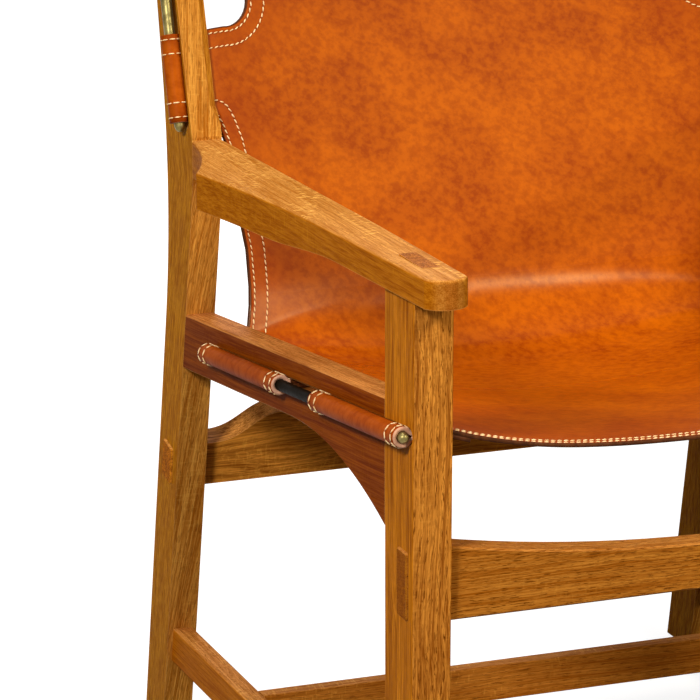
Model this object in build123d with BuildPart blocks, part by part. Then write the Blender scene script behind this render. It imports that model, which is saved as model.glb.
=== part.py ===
from build123d import *
import math
import os

# Oak armchair with a one-piece leather sling, millimetres.
# Front of the chair faces -Y, the sitter's right hand is at -X, the floor is Z = 0.

# Overall sizes
chair_height = 843
chair_depth = 760
frame_width = 578

# Depths of the front pieces run back from the nose of the armrest
nose_y = -chair_depth / 2

# Front leg, upright and a little deeper at the top
leg_thick = 34
leg_foot_front_from_nose = 51
leg_foot_front = nose_y + leg_foot_front_from_nose
leg_foot_rear_from_nose = 109
leg_foot_rear = nose_y + leg_foot_rear_from_nose
leg_head_front_from_nose = 39.5
leg_head_front = nose_y + leg_head_front_from_nose
leg_head_rear_from_nose = 105.5
leg_head_rear = nose_y + leg_head_rear_from_nose

# Depths of the rear pieces run forward from the heel of the rear post
heel_y = chair_depth / 2

# Rear post, leaning back above the arm and splayed back below it
post_thick = 28
post_land_from_heel = 168
post_land_y = heel_y - post_land_from_heel
post_land_low = 545
post_land_high = 590
post_foot_front_from_heel = 53.5
post_foot_front = heel_y - post_foot_front_from_heel
post_foot_rear = heel_y
post_top_front_from_heel = 87
post_top_front = heel_y - post_top_front_from_heel
post_top_rear_from_heel = 43
post_top_rear = heel_y - post_top_rear_from_heel
post_knee_from_heel = 107
post_knee_y = heel_y - post_knee_from_heel
post_knee_z = 521
post_knee_radius = 600

# Shallow stopped chamfer on the inner front edge of the post
comfort_chamfer_wide = 8
comfort_chamfer_deep = 6.5
comfort_chamfer_start = 600
comfort_chamfer_runout = 16
comfort_runout_share = 0.05

# Seat side rail with its bracket at the front leg
rail_thick = 27
rail_top_front = 479.6
rail_top_rear = 419.7
rail_depth = 52
rail_bracket_depth = 110
rail_bracket_run = 234.5
rail_bracket_start = leg_head_rear + rail_bracket_run
rail_tenon_drop = 37

# Armrest
arm_top_front = 600
arm_top_rear = 587
arm_thin = 24
arm_thick = 33
arm_swell_front_from_nose = 190
arm_swell_front = nose_y + arm_swell_front_from_nose
arm_swell_rear_from_nose = 340
arm_swell_rear = nose_y + arm_swell_rear_from_nose
arm_nose_side_from_nose = 12
arm_nose_side = nose_y + arm_nose_side_from_nose
arm_nose_radius = 7
arm_inner_overhang = 0.6
arm_inner_bend_from_nose = 200
arm_inner_bend = nose_y + arm_inner_bend_from_nose
arm_outer_overhang = 2
arm_flare_start_from_nose = 230
arm_flare_start = nose_y + arm_flare_start_from_nose
arm_flare_start_width = 12
arm_wing_from_heel = 297
arm_wing_y = heel_y - arm_wing_from_heel
arm_wing_width = 39.5
arm_cove_from_heel = 231
arm_cove_y = heel_y - arm_cove_from_heel
arm_cove_width = 12.5
arm_wing_round = 4
arm_edge_round = 2.5

# Low side stretcher and the stretcher across
side_stretcher_thick = 19
side_stretcher_depth = 34
side_stretcher_inset = 5
side_stretcher_top = 95
cross_stretcher_thick = 16
cross_stretcher_depth = 34
cross_stretcher_rear_from_heel = 263
cross_stretcher_rear = heel_y - cross_stretcher_rear_from_heel

# Front rail, dipped along the top
front_rail_thick = 25
front_rail_front_from_nose = 52
front_rail_front = nose_y + front_rail_front_from_nose
front_rail_bottom = 302.5
front_rail_end_depth = 63.5
front_rail_dip = 24

# Rear rail, raised in the middle and leaning with the post
rear_rail_thick = 28
rear_rail_setback = 12
rear_rail_low = 21
rear_rail_end_high = 22
rear_rail_mid_high = 48
rear_rail_ramp_low = 250
rear_rail_ramp_high = 180
rear_rail_post_z = 264

# Joinery
joint_gap = 0.2
tenon_proud = 2
tenon_shoulder = 3
tenon_root = 8
tenon_round = 3
proud_chamfer = 1
stub_tenon_length = 24
stub_tenon_thick = 11
leg_tenon_wide = 15
leg_tenon_deep = 51
edge_round = 1.5
rail_arris = 1.5
upright_limit = 15
blank_depth = 100

# Brass rods, leather and the slots that the leather passes
rod_diameter = 10
rod_standoff = 6.2
rod_end_long = 3
rod_end_deep = 2.4
leather_thick = 3.6
sleeve_play = 0.2
slot_width = 10
slot_mouth = 2.5
slot_mouth_angle = 45
slot_end_gap = 3
seat_slot_drop = 24.4
seat_sleeve_front_from_nose = 49
seat_sleeve_front = nose_y + seat_sleeve_front_from_nose
seat_sleeve_end_gap = 3.9
seat_gap_share = 92 / 496
seat_rod_overhang = 6
back_slot_setback = 12
back_sleeve_above_arm = 14
back_sleeve_low = arm_top_rear + back_sleeve_above_arm
back_sleeve_below_top = 24.8
back_sleeve_high = chair_height - back_sleeve_below_top
back_gap_share = 70 / 228
back_rod_overhang = 8

# Leather sling between the side frames
sling_edge_gap = 0.3
hem_setback = 4
sling_waist_in = 15
sling_waist_share = 0.43
sling_bend_radius = 24
sling_bend_steps = 6
sag_back_top = 26
sag_back_mid = 34
sag_back_low = 32
sag_bend = 30
sag_seat_rear = 36
sag_seat_rear_share = 0.2
sag_seat_mid = 40
sag_front = 28
scoop_inset = 44
scoop_round_share = 1 / 3
sleeve_lap = 6

cut_overrun = 5
os.makedirs("parts", exist_ok=True)

outer_x = -frame_width / 2
leg_inner_x = outer_x + leg_thick
post_inner_x = outer_x + post_thick
rail_inner_x = outer_x + rail_thick


# Straight lines of the side frame, each giving y at a height z or z at a depth y
def line(a0, b0, a1, b1):
    return lambda a: b0 + (b1 - b0) * (a - a0) / (a1 - a0)


leg_rear_y = line(0, leg_foot_rear, arm_top_front, leg_head_rear)
post_front_low_y = line(0, post_foot_front, post_land_low, post_land_y)
post_front_high_y = line(post_land_high, post_land_y, chair_height, post_top_front)
rail_top_z = line(leg_head_rear, rail_top_front, post_front_low_y(rail_top_rear), rail_top_rear)
arm_top_z = line(-chair_depth / 2, arm_top_front, post_land_y, arm_top_rear)

rail_slope = math.atan(rail_top_z(-1) - rail_top_z(0))
post_lean_low = math.atan(post_front_low_y(0) - post_front_low_y(1))
post_lean_high = math.atan(post_front_high_y(1) - post_front_high_y(0))


def at(y, z, x=0):
    return Vector(x, y, z)


def tenon(plane, wide, high, length):
    # Square tenon, from its root inside the piece through its shoulder
    with BuildSketch(plane.offset(-tenon_root)) as profile:
        Rectangle(wide, high)
    extrude(profile.sketch, amount=tenon_root + length - joint_gap)


def mortise(plane, wide, high, length):
    # Pocket for a square tenon, deeper by the joint gap than the tenon is long
    with BuildSketch(plane.offset(-tenon_root)) as profile:
        Rectangle(wide + 2 * joint_gap, high + 2 * joint_gap)
    extrude(profile.sketch, amount=tenon_root + length + joint_gap, mode=Mode.SUBTRACT)


def through_tenon(plane, wide, high, length):
    # Tenon with rounded corners that shows on the far face
    with BuildSketch(plane.offset(-tenon_root)) as profile:
        RectangleRounded(wide, high, tenon_round)
    extrude(profile.sketch, amount=tenon_root + length)


def through_mortise(plane, wide, high, length):
    with BuildSketch(plane.offset(-tenon_root)) as profile:
        RectangleRounded(wide + 2 * joint_gap, high + 2 * joint_gap, tenon_round + joint_gap)
    extrude(profile.sketch, amount=tenon_root + length + cut_overrun, mode=Mode.SUBTRACT)


def save_pair(name, right):
    # The left piece is the mirror image of the right one
    left = mirror(right, about=Plane.YZ)
    for side, shape in (("right", right), ("left", left)):
        shape.label = name + "_" + side
        export_step(shape, "parts/" + shape.label + ".step")


def save(name, shape):
    shape.label = name
    export_step(shape, "parts/" + name + ".step")


# Joint planes, each at the shoulder of its tenon and facing into the mortise
rail_mid_x = outer_x + rail_thick / 2
leg_joint_z = rail_top_front - seat_slot_drop - slot_width - rail_tenon_drop
rail_leg_joint = Plane(
    at(leg_rear_y(leg_joint_z), leg_joint_z, rail_mid_x), x_dir=(1, 0, 0), z_dir=(0, -1, 0)
)
rail_leg_tenon_high = rail_bracket_depth / 2
rail_post_z = rail_top_rear - rail_depth / 2
rail_post_joint = Plane(
    at(post_front_low_y(rail_post_z), rail_post_z, rail_mid_x), x_dir=(1, 0, 0), z_dir=(0, 1, 0)
)
rail_post_tenon_high = rail_depth - 2 * tenon_shoulder - stub_tenon_thick
arm_post_z = arm_top_rear - arm_thick / 2
arm_post_joint = Plane(
    at(post_land_y, arm_post_z, outer_x + post_thick / 2), x_dir=(1, 0, 0), z_dir=(0, 1, 0)
)
arm_tenon_high = arm_thick - 2 * tenon_shoulder
leg_mid_y = (leg_head_front + leg_head_rear) / 2
leg_head_z = arm_top_z(leg_mid_y)
leg_arm_joint = Plane(at(leg_mid_y, leg_head_z - arm_thin, outer_x + leg_thick / 2))
leg_tenon_length = arm_thin + tenon_proud / 2
side_stretcher_x = outer_x + side_stretcher_inset + side_stretcher_thick / 2
side_stretcher_z = side_stretcher_top - side_stretcher_depth / 2
stretcher_leg_joint = Plane(
    at(leg_rear_y(side_stretcher_z), side_stretcher_z, side_stretcher_x),
    x_dir=(1, 0, 0),
    z_dir=(0, -1, 0),
)
stretcher_post_joint = Plane(
    at(post_front_low_y(side_stretcher_z), side_stretcher_z, side_stretcher_x),
    x_dir=(1, 0, 0),
    z_dir=(0, 1, 0),
)
stretcher_tenon_high = side_stretcher_depth - 2 * tenon_shoulder
cross_stretcher_y = cross_stretcher_rear - cross_stretcher_thick / 2
cross_shoulder_x = side_stretcher_x + side_stretcher_thick / 2
cross_joint = Plane(
    at(cross_stretcher_y, side_stretcher_z, cross_shoulder_x), x_dir=(0, 1, 0), z_dir=(-1, 0, 0)
)
cross_tenon_wide = cross_stretcher_thick - 2 * tenon_shoulder
cross_tenon_long = side_stretcher_thick - tenon_shoulder
front_rail_y = front_rail_front + front_rail_thick / 2
front_rail_z = front_rail_bottom + front_rail_end_depth / 2
front_rail_joint = Plane(at(front_rail_y, front_rail_z, leg_inner_x), x_dir=(0, -1, 0), z_dir=(-1, 0, 0))
front_rail_tenon_high = front_rail_end_depth - 2 * tenon_shoulder
front_tenon_wide = front_rail_thick - tenon_shoulder
rear_tenon_wide = rear_rail_thick - tenon_shoulder
rear_rail_behind = (rear_rail_setback + rear_rail_thick / 2) / math.cos(post_lean_low)
rear_rail_y = post_front_low_y(rear_rail_post_z) + rear_rail_behind
rear_rail_plane = Plane(
    at(rear_rail_y, rear_rail_post_z),
    x_dir=(1, 0, 0),
    z_dir=(0, -math.cos(post_lean_low), -math.sin(post_lean_low)),
)
rear_rail_tenon_high = rear_rail_low + rear_rail_end_high - 2 * tenon_shoulder
rear_rail_joint = Plane(
    at(rear_rail_y, rear_rail_post_z, post_inner_x),
    x_dir=(0, -math.cos(post_lean_low), -math.sin(post_lean_low)),
    z_dir=(-1, 0, 0),
)


# Slot lines of the seat and of the back, which meet at the corner of the sling
def seat_slot_z(y):
    return rail_top_z(y) - seat_slot_drop


def back_slot_y(z):
    return post_front_high_y(z) + back_slot_setback / math.cos(post_lean_high)


back_run = back_slot_y(1) - back_slot_y(0)
seat_run = seat_slot_z(1) - seat_slot_z(0)
corner_y = (back_slot_y(0) + back_run * seat_slot_z(0)) / (1 - back_run * seat_run)
corner = at(corner_y, seat_slot_z(corner_y))

# Length of each row of two sleeves with the gap between them, running forward or upward
seat_sleeve_rear = corner_y - seat_sleeve_end_gap
seat_slot_run = (seat_sleeve_rear - seat_sleeve_front) / math.cos(rail_slope)
back_slot_run = (back_sleeve_high - back_sleeve_low) / math.cos(post_lean_high)
seat_sleeve_gap = seat_slot_run * seat_gap_share
back_sleeve_gap = back_slot_run * back_gap_share
seat_sleeve_length = (seat_slot_run - seat_sleeve_gap) / 2
back_sleeve_length = (back_slot_run - back_sleeve_gap) / 2

# Direction of each slot, and the point of the rod's axis where its rearmost or lowest sleeve ends
rod_x = outer_x - rod_standoff
seat_axis = Vector(0, -math.cos(rail_slope), math.sin(rail_slope))
back_axis = Vector(0, math.sin(post_lean_high), math.cos(post_lean_high))
seat_origin = at(seat_sleeve_rear, seat_slot_z(seat_sleeve_rear), rod_x)
back_origin = at(back_slot_y(back_sleeve_low), back_sleeve_low, rod_x)


def slot_cutter(origin, axis, run):
    # Plain slot through the whole side frame
    middle = at(origin.Y, origin.Z, outer_x - cut_overrun) + axis * (run / 2)
    with BuildPart() as cutter:
        with BuildSketch(Plane(middle, x_dir=axis, z_dir=(1, 0, 0))):
            SlotOverall(run + 2 * slot_end_gap, slot_width)
        extrude(amount=leg_thick + 2 * cut_overrun)
    return cutter.part


def slot_flare(origin, axis, run, face_x, inward):
    # Bevel round one mouth of a slot, widest on the face that it opens in
    middle = at(origin.Y, origin.Z, face_x) + axis * (run / 2)
    with BuildPart() as flare:
        with BuildSketch(Plane(middle, x_dir=axis, z_dir=(inward, 0, 0))):
            SlotOverall(run + 2 * slot_end_gap + 2 * slot_mouth, slot_width + 2 * slot_mouth)
        extrude(amount=slot_mouth, taper=slot_mouth_angle)
    return flare.part


seat_slot = slot_cutter(seat_origin, seat_axis, seat_slot_run)
back_slot = slot_cutter(back_origin, back_axis, back_slot_run)
seat_flare_outer = slot_flare(seat_origin, seat_axis, seat_slot_run, outer_x, 1)
seat_flare_rail = slot_flare(seat_origin, seat_axis, seat_slot_run, rail_inner_x, -1)
seat_flare_leg = slot_flare(seat_origin, seat_axis, seat_slot_run, leg_inner_x, -1)
back_flare_outer = slot_flare(back_origin, back_axis, back_slot_run, outer_x, 1)
back_flare_inner = slot_flare(back_origin, back_axis, back_slot_run, post_inner_x, -1)

# Uncut blanks of leg and post, also used to shape the ends of what meets them
with BuildPart() as leg_blank:
    with BuildSketch(Plane.YZ.offset(outer_x)):
        with BuildLine():
            Polyline(
                (leg_foot_front, 0),
                (leg_foot_rear, 0),
                (leg_head_rear, arm_top_z(leg_head_rear) - arm_thin),
                (leg_head_front, arm_top_z(leg_head_front) - arm_thin),
                close=True,
            )
        make_face()
    extrude(amount=leg_thick)

with BuildPart() as post_blank:
    with BuildSketch(Plane.YZ.offset(outer_x)):
        with BuildLine():
            Polyline(
                (post_top_rear, chair_height),
                (post_top_front, chair_height),
                (post_land_y, post_land_high),
                (post_land_y, post_land_low),
                (post_foot_front, 0),
                (post_foot_rear, 0),
            )
            FilletPolyline(
                (post_foot_rear, 0),
                (post_knee_y, post_knee_z),
                (post_top_rear, chair_height),
                radius=post_knee_radius,
            )
        make_face()
    extrude(amount=post_thick)

with BuildPart() as front_leg:
    add(leg_blank.part)
    fillet(front_leg.edges().filter_by(Axis.Z, tolerance=upright_limit), radius=edge_round)
    tenon(leg_arm_joint, leg_tenon_wide, leg_tenon_deep, leg_tenon_length)
    mortise(rail_leg_joint, stub_tenon_thick, rail_leg_tenon_high, stub_tenon_length)
    mortise(stretcher_leg_joint, stub_tenon_thick, stretcher_tenon_high, stub_tenon_length)
    through_mortise(front_rail_joint, front_tenon_wide, front_rail_tenon_high, leg_thick)
    for cut in (seat_slot, seat_flare_outer, seat_flare_leg):
        add(cut, mode=Mode.SUBTRACT)
save_pair("front_leg", front_leg.part)

with BuildPart() as rear_post:
    add(post_blank.part)
    # Stopped chamfer that keeps the inner front edge off the sitter's back
    up_post = (0, math.sin(post_lean_high), math.cos(post_lean_high))
    for low, high, low_share in (
        (comfort_chamfer_start, comfort_chamfer_start + comfort_chamfer_runout, comfort_runout_share),
        (comfort_chamfer_start + comfort_chamfer_runout, chair_height + cut_overrun, 1),
    ):
        sections = []
        for z, share in ((low, low_share), (high, 1)):
            arris = Plane(at(post_front_high_y(z), z, post_inner_x), x_dir=(1, 0, 0), z_dir=up_post)
            with BuildSketch(arris) as section:
                with BuildLine():
                    Polyline(
                        (cut_overrun * share, -cut_overrun * share),
                        (-comfort_chamfer_wide * share, -cut_overrun * share),
                        (-comfort_chamfer_wide * share, 0),
                        (0, comfort_chamfer_deep * share),
                        (cut_overrun * share, comfort_chamfer_deep * share),
                        close=True,
                    )
                make_face()
            sections.append(section.sketch)
        loft(sections, ruled=True, mode=Mode.SUBTRACT)
    mortise(rail_post_joint, stub_tenon_thick, rail_post_tenon_high, stub_tenon_length)
    mortise(arm_post_joint, stub_tenon_thick, arm_tenon_high, stub_tenon_length)
    mortise(stretcher_post_joint, stub_tenon_thick, stretcher_tenon_high, stub_tenon_length)
    through_mortise(rear_rail_joint, rear_tenon_wide, rear_rail_tenon_high, post_thick)
    for cut in (back_slot, back_flare_outer, back_flare_inner):
        add(cut, mode=Mode.SUBTRACT)
save_pair("rear_post", rear_post.part)

with BuildPart() as seat_rail:
    rail_end_y = post_front_low_y(rail_top_rear - rail_depth)
    with BuildSketch(Plane.YZ.offset(outer_x)):
        with BuildLine():
            under = Line(
                (rail_end_y, rail_top_z(rail_end_y) - rail_depth),
                (rail_bracket_start, rail_top_z(rail_bracket_start) - rail_depth),
            )
            bracket = TangentArc(
                under @ 1,
                (leg_head_rear, rail_top_z(leg_head_rear) - rail_bracket_depth),
                tangent=under % 1,
            )
            Polyline(
                bracket @ 1,
                (leg_head_rear, rail_top_z(leg_head_rear)),
                (rail_end_y, rail_top_z(rail_end_y)),
                under @ 0,
            )
        make_face()
    extrude(amount=rail_thick)
    add(leg_blank.part, mode=Mode.SUBTRACT)
    add(post_blank.part, mode=Mode.SUBTRACT)
    not_across = seat_rail.edges().filter_by(Axis.X, reverse=True)
    chamfer(not_across.filter_by(Axis.Z, reverse=True, tolerance=upright_limit), length=rail_arris)
    tenon(rail_leg_joint, stub_tenon_thick, rail_leg_tenon_high, stub_tenon_length)
    tenon(rail_post_joint, stub_tenon_thick, rail_post_tenon_high, stub_tenon_length)
    for cut in (seat_slot, seat_flare_outer, seat_flare_rail):
        add(cut, mode=Mode.SUBTRACT)
save_pair("seat_rail", seat_rail.part)

with BuildPart() as armrest:
    with BuildSketch(Plane.YZ.offset(outer_x - arm_wing_width - cut_overrun)):
        with BuildLine():
            rear_under = Line(
                (post_land_y, arm_top_rear - arm_thick),
                (arm_swell_rear, arm_top_z(arm_swell_rear) - arm_thick),
            )
            front_under = Line(
                (arm_swell_front, arm_top_z(arm_swell_front) - arm_thin),
                (nose_y, arm_top_z(nose_y) - arm_thin),
            )
            Spline(rear_under @ 1, front_under @ 0, tangents=(rear_under % 1, front_under % 0))
            Polyline(
                front_under @ 1, (nose_y, arm_top_front), (post_land_y, arm_top_rear), rear_under @ 0
            )
        make_face()
    extrude(amount=blank_depth)
    arm_inner_x = leg_inner_x + arm_inner_overhang
    arm_outer_x = outer_x - arm_outer_overhang
    with BuildSketch(Plane.XY.offset(arm_top_rear - 2 * arm_thick)) as arm_plan:
        with BuildLine():
            inner = Polyline(
                (post_inner_x, post_land_y), (arm_inner_x, arm_inner_bend), (arm_inner_x, arm_nose_side)
            )
            nose = ThreePointArc(
                inner @ 1, ((arm_inner_x + arm_outer_x) / 2, nose_y), (arm_outer_x, arm_nose_side)
            )
            outer = Line(nose @ 1, (outer_x - arm_flare_start_width, arm_flare_start))
            flare = TangentArc(outer @ 1, (outer_x - arm_wing_width, arm_wing_y), tangent=outer % 1)
            ThreePointArc(
                flare @ 1, (outer_x - arm_cove_width, arm_cove_y), (outer_x, post_land_y)
            )
            Line((outer_x, post_land_y), (post_inner_x, post_land_y))
        make_face()
        fillet(arm_plan.vertices().group_by(Axis.Y)[0], radius=arm_nose_radius)
        fillet(arm_plan.vertices().sort_by(Axis.X)[0], radius=arm_wing_round)
    extrude(amount=blank_depth, mode=Mode.INTERSECT)
    arm_rim = armrest.faces().sort_by(Axis.Z)[-1].edges().filter_by(Axis.X, reverse=True)
    fillet(arm_rim, radius=arm_edge_round)
    tenon(arm_post_joint, stub_tenon_thick, arm_tenon_high, stub_tenon_length)
    mortise(leg_arm_joint, leg_tenon_wide, leg_tenon_deep, 2 * arm_thick)
save_pair("armrest", armrest.part)

with BuildPart() as side_stretcher:
    with BuildSketch(Plane.YZ.offset(side_stretcher_x - side_stretcher_thick / 2)):
        with BuildLine():
            Polyline(
                (leg_head_rear, side_stretcher_top),
                (post_foot_front, side_stretcher_top),
                (post_foot_front, side_stretcher_top - side_stretcher_depth),
                (leg_head_rear, side_stretcher_top - side_stretcher_depth),
                close=True,
            )
        make_face()
    extrude(amount=side_stretcher_thick)
    fillet(side_stretcher.edges().filter_by(Axis.Y), radius=edge_round)
    add(leg_blank.part, mode=Mode.SUBTRACT)
    add(post_blank.part, mode=Mode.SUBTRACT)
    tenon(stretcher_leg_joint, stub_tenon_thick, stretcher_tenon_high, stub_tenon_length)
    tenon(stretcher_post_joint, stub_tenon_thick, stretcher_tenon_high, stub_tenon_length)
    mortise(cross_joint, cross_tenon_wide, stretcher_tenon_high, cross_tenon_long)
save_pair("side_stretcher", side_stretcher.part)

with BuildPart() as cross_stretcher:
    with BuildSketch(Plane(cross_joint.origin, x_dir=cross_joint.x_dir, z_dir=(1, 0, 0))):
        Rectangle(cross_stretcher_thick, cross_stretcher_depth)
    extrude(amount=-cross_shoulder_x)
    fillet(cross_stretcher.edges().filter_by(Axis.X), radius=edge_round)
    tenon(cross_joint, cross_tenon_wide, stretcher_tenon_high, cross_tenon_long)
    mirror(about=Plane.YZ)
save("cross_stretcher", cross_stretcher.part)

with BuildPart() as front_rail:
    front_rail_top = front_rail_bottom + front_rail_end_depth
    with BuildSketch(Plane.XZ.offset(-front_rail_front - front_rail_thick)):
        with BuildLine():
            dip = TangentArc(
                (0, front_rail_top - front_rail_dip), (leg_inner_x, front_rail_top), tangent=(-1, 0)
            )
            Polyline(dip @ 1, (leg_inner_x, front_rail_bottom), (0, front_rail_bottom), dip @ 0)
        make_face()
    extrude(amount=front_rail_thick)
    long_edges = front_rail.edges().filter_by(Plane.XZ).filter_by(Axis.Z, reverse=True)
    chamfer(long_edges, length=rail_arris)
    through_tenon(front_rail_joint, front_tenon_wide, front_rail_tenon_high, leg_thick + tenon_proud)
    chamfer(front_rail.faces().sort_by(Axis.X)[0].edges(), length=proud_chamfer)
    mirror(about=Plane.YZ)
save("front_rail", front_rail.part)

with BuildPart() as rear_rail:
    with BuildSketch(rear_rail_plane.offset(-rear_rail_thick / 2)):
        with BuildLine():
            low_end = Line((post_inner_x, rear_rail_end_high), (-rear_rail_ramp_low, rear_rail_end_high))
            top = Line((-rear_rail_ramp_high, rear_rail_mid_high), (0, rear_rail_mid_high))
            Spline(low_end @ 1, top @ 0, tangents=((1, 0), (1, 0)))
            Polyline(top @ 1, (0, -rear_rail_low), (post_inner_x, -rear_rail_low), low_end @ 0)
        make_face()
    extrude(amount=rear_rail_thick)
    through_tenon(rear_rail_joint, rear_tenon_wide, rear_rail_tenon_high, post_thick + tenon_proud)
    chamfer(rear_rail.faces().sort_by(Axis.X)[0].edges(), length=proud_chamfer)
    mirror(about=Plane.YZ)
save("rear_rail", rear_rail.part)

# Brass rods along the outer faces, round which the sling's sleeves are sewn
for name, origin, axis, run, overhang in (
    ("seat_rod", seat_origin, seat_axis, seat_slot_run, seat_rod_overhang),
    ("back_rod", back_origin, back_axis, back_slot_run, back_rod_overhang),
):
    with BuildPart() as rod:
        with BuildSketch(Plane(origin - axis * overhang, x_dir=(1, 0, 0), z_dir=axis)):
            Circle(rod_diameter / 2)
        extrude(amount=run + 2 * overhang)
        for end in rod.faces().filter_by(GeomType.PLANE):
            chamfer(end.edges(), length=rod_end_long, length2=rod_end_deep, reference=end)
    save_pair(name, rod.part)

# One sheet of leather hung from both side frames, sagging between them
back_angle = post_lean_high - math.pi / 2
bend_turn = rail_slope - back_angle
bend_reach = sling_bend_radius * math.tan(bend_turn / 2)
back_low = (back_origin - corner).dot(back_axis)
back_high = back_low + back_slot_run - hem_setback
seat_front = (seat_origin - corner).dot(seat_axis) + seat_slot_run - hem_setback


def sheet_section(place, angle, sag):
    # Cross-section of the sheet, square to the rods where it is flat and turned by angle
    half = -leg_inner_x - sling_edge_gap
    run = (0, -math.cos(angle), math.sin(angle))
    with BuildSketch(Plane(place, x_dir=(1, 0, 0), z_dir=run)) as section:
        with BuildLine():
            top = ThreePointArc((-half, leather_thick), (0, leather_thick - sag), (half, leather_thick))
            low = ThreePointArc((half, 0), (0, -sag), (-half, 0))
            Line(top @ 1, low @ 0)
            Line(low @ 1, top @ 0)
        make_face()
    return section.sketch


sleeve_ends = []
for origin, axis, length, gap in (
    (seat_origin, seat_axis, seat_sleeve_length, seat_sleeve_gap),
    (back_origin, back_axis, back_sleeve_length, back_sleeve_gap),
):
    for start in (0, length + gap):
        for inward in (1, -1):
            foot = origin + axis * start
            sleeve_ends.append((Vector(inward * foot.X, foot.Y, foot.Z), axis, length, inward))

with BuildPart() as trims:
    # Scoops between the sleeves, where the rods lie bare
    for origin, axis, length, gap in (
        (seat_origin, seat_axis, seat_sleeve_length, seat_sleeve_gap),
        (back_origin, back_axis, back_sleeve_length, back_sleeve_gap),
    ):
        scoop_middle = at(origin.Y, origin.Z, post_inner_x) + axis * (length + gap / 2)
        with BuildSketch(Plane(scoop_middle, x_dir=(1, 0, 0), z_dir=axis.cross(Vector(1, 0, 0)))):
            RectangleRounded(2 * scoop_inset, gap, gap * scoop_round_share)
        extrude(amount=sag_seat_mid, both=True)
    # Waist, the hollow free edge between the back and the seat
    waist_z = corner.Z + (back_sleeve_low - corner.Z) * sling_waist_share
    with BuildSketch(Plane.XZ.offset(-chair_depth / 2)):
        with BuildLine():
            waist = ThreePointArc(
                (post_inner_x, back_sleeve_low),
                (post_inner_x + sling_waist_in, waist_z),
                (post_inner_x, corner.Z),
            )
            Line(waist @ 1, waist @ 0)
        make_face()
    extrude(amount=chair_depth / 2 - corner.Y)

with BuildPart() as sling:
    loft(
        [
            sheet_section(corner + back_axis * back_high, back_angle, sag_back_top),
            sheet_section(corner + back_axis * ((back_high + back_low) / 2), back_angle, sag_back_mid),
            sheet_section(corner + back_axis * ((back_low + bend_reach) / 2), back_angle, sag_back_low),
            sheet_section(corner + back_axis * bend_reach, back_angle, sag_bend),
        ]
    )
    back_normal = Vector(0, math.sin(back_angle), math.cos(back_angle))
    bend_centre = corner + back_axis * bend_reach + back_normal * sling_bend_radius
    bend_sections = []
    for step in range(sling_bend_steps + 1):
        angle = back_angle + bend_turn * step / sling_bend_steps
        normal = Vector(0, math.sin(angle), math.cos(angle))
        bend_sections.append(sheet_section(bend_centre - normal * sling_bend_radius, angle, sag_bend))
    half_bend = sling_bend_steps // 2
    loft(bend_sections[: half_bend + 1], ruled=True)
    loft(bend_sections[half_bend:], ruled=True)
    seat_rear = seat_front * sag_seat_rear_share
    loft(
        [
            sheet_section(corner + seat_axis * bend_reach, rail_slope, sag_bend),
            sheet_section(corner + seat_axis * seat_rear, rail_slope, sag_seat_rear),
            sheet_section(corner + seat_axis * (seat_front / 2), rail_slope, sag_seat_mid),
            sheet_section(corner + seat_axis * seat_front, rail_slope, sag_front),
        ]
    )
    add(trims.part, mode=Mode.SUBTRACT)
    mirror(trims.part, about=Plane.YZ, mode=Mode.SUBTRACT)
    # Sleeves round the rods, each with its neck through the slot in the wood
    neck_width = leg_inner_x - rod_x + sleeve_lap
    for end, axis, length, inward in sleeve_ends:
        with BuildSketch(Plane(end, x_dir=(inward, 0, 0), z_dir=axis)):
            Circle(rod_diameter / 2 + sleeve_play + leather_thick)
            with Locations((neck_width / 2, 0)):
                Rectangle(neck_width, 2 * leather_thick)
            Circle(rod_diameter / 2 + sleeve_play, mode=Mode.SUBTRACT)
        extrude(amount=length)
save("sling", sling.part)
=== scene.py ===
import bpy
import bmesh
import math
from mathutils import Matrix, Vector, noise


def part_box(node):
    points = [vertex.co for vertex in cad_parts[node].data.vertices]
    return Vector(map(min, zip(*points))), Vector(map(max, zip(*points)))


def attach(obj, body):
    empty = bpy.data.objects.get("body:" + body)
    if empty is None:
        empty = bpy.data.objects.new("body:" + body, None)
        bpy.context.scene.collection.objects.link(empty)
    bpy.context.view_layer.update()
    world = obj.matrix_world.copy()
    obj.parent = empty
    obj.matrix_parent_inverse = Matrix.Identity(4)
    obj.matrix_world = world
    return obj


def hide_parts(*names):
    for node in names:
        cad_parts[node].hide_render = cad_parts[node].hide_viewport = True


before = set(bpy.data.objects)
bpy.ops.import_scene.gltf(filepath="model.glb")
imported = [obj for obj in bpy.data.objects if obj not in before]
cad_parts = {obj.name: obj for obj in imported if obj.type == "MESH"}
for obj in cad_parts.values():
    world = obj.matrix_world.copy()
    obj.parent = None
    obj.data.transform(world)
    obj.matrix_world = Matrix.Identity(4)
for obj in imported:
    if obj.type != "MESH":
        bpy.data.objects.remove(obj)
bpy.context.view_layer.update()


# Front legs: upright oak, sawn flat so that the front face shows wavy growth rings
# with dark open pores, oiled to a golden brown. A tenon goes up through each armrest,
# and the leather passes through a slot in the leg.

def put(tree, kind, settings=None, inputs=None):
    """A node with its settings, and its inputs joined or set"""
    node = tree.nodes.new(kind)
    for name, value in (settings or {}).items():
        setattr(node, name, value)
    for name, value in (inputs or {}).items():
        socket = node.inputs[name]
        if isinstance(value, bpy.types.NodeSocket):
            tree.links.new(value, socket)
        else:
            socket.default_value = value
    return node


def sums(tree, operation, a, b=0.0, c=0.0, clamp=False):
    """One step of arithmetic on a value that changes over the surface"""
    step = put(tree, "ShaderNodeMath", {"operation": operation, "use_clamp": clamp}, {0: a, 1: b, 2: c})
    return step.outputs[0]


def vectors(tree, operation, inputs):
    """One step of arithmetic on a place or a direction"""
    return put(tree, "ShaderNodeVectorMath", {"operation": operation}, inputs).outputs[0]


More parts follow.
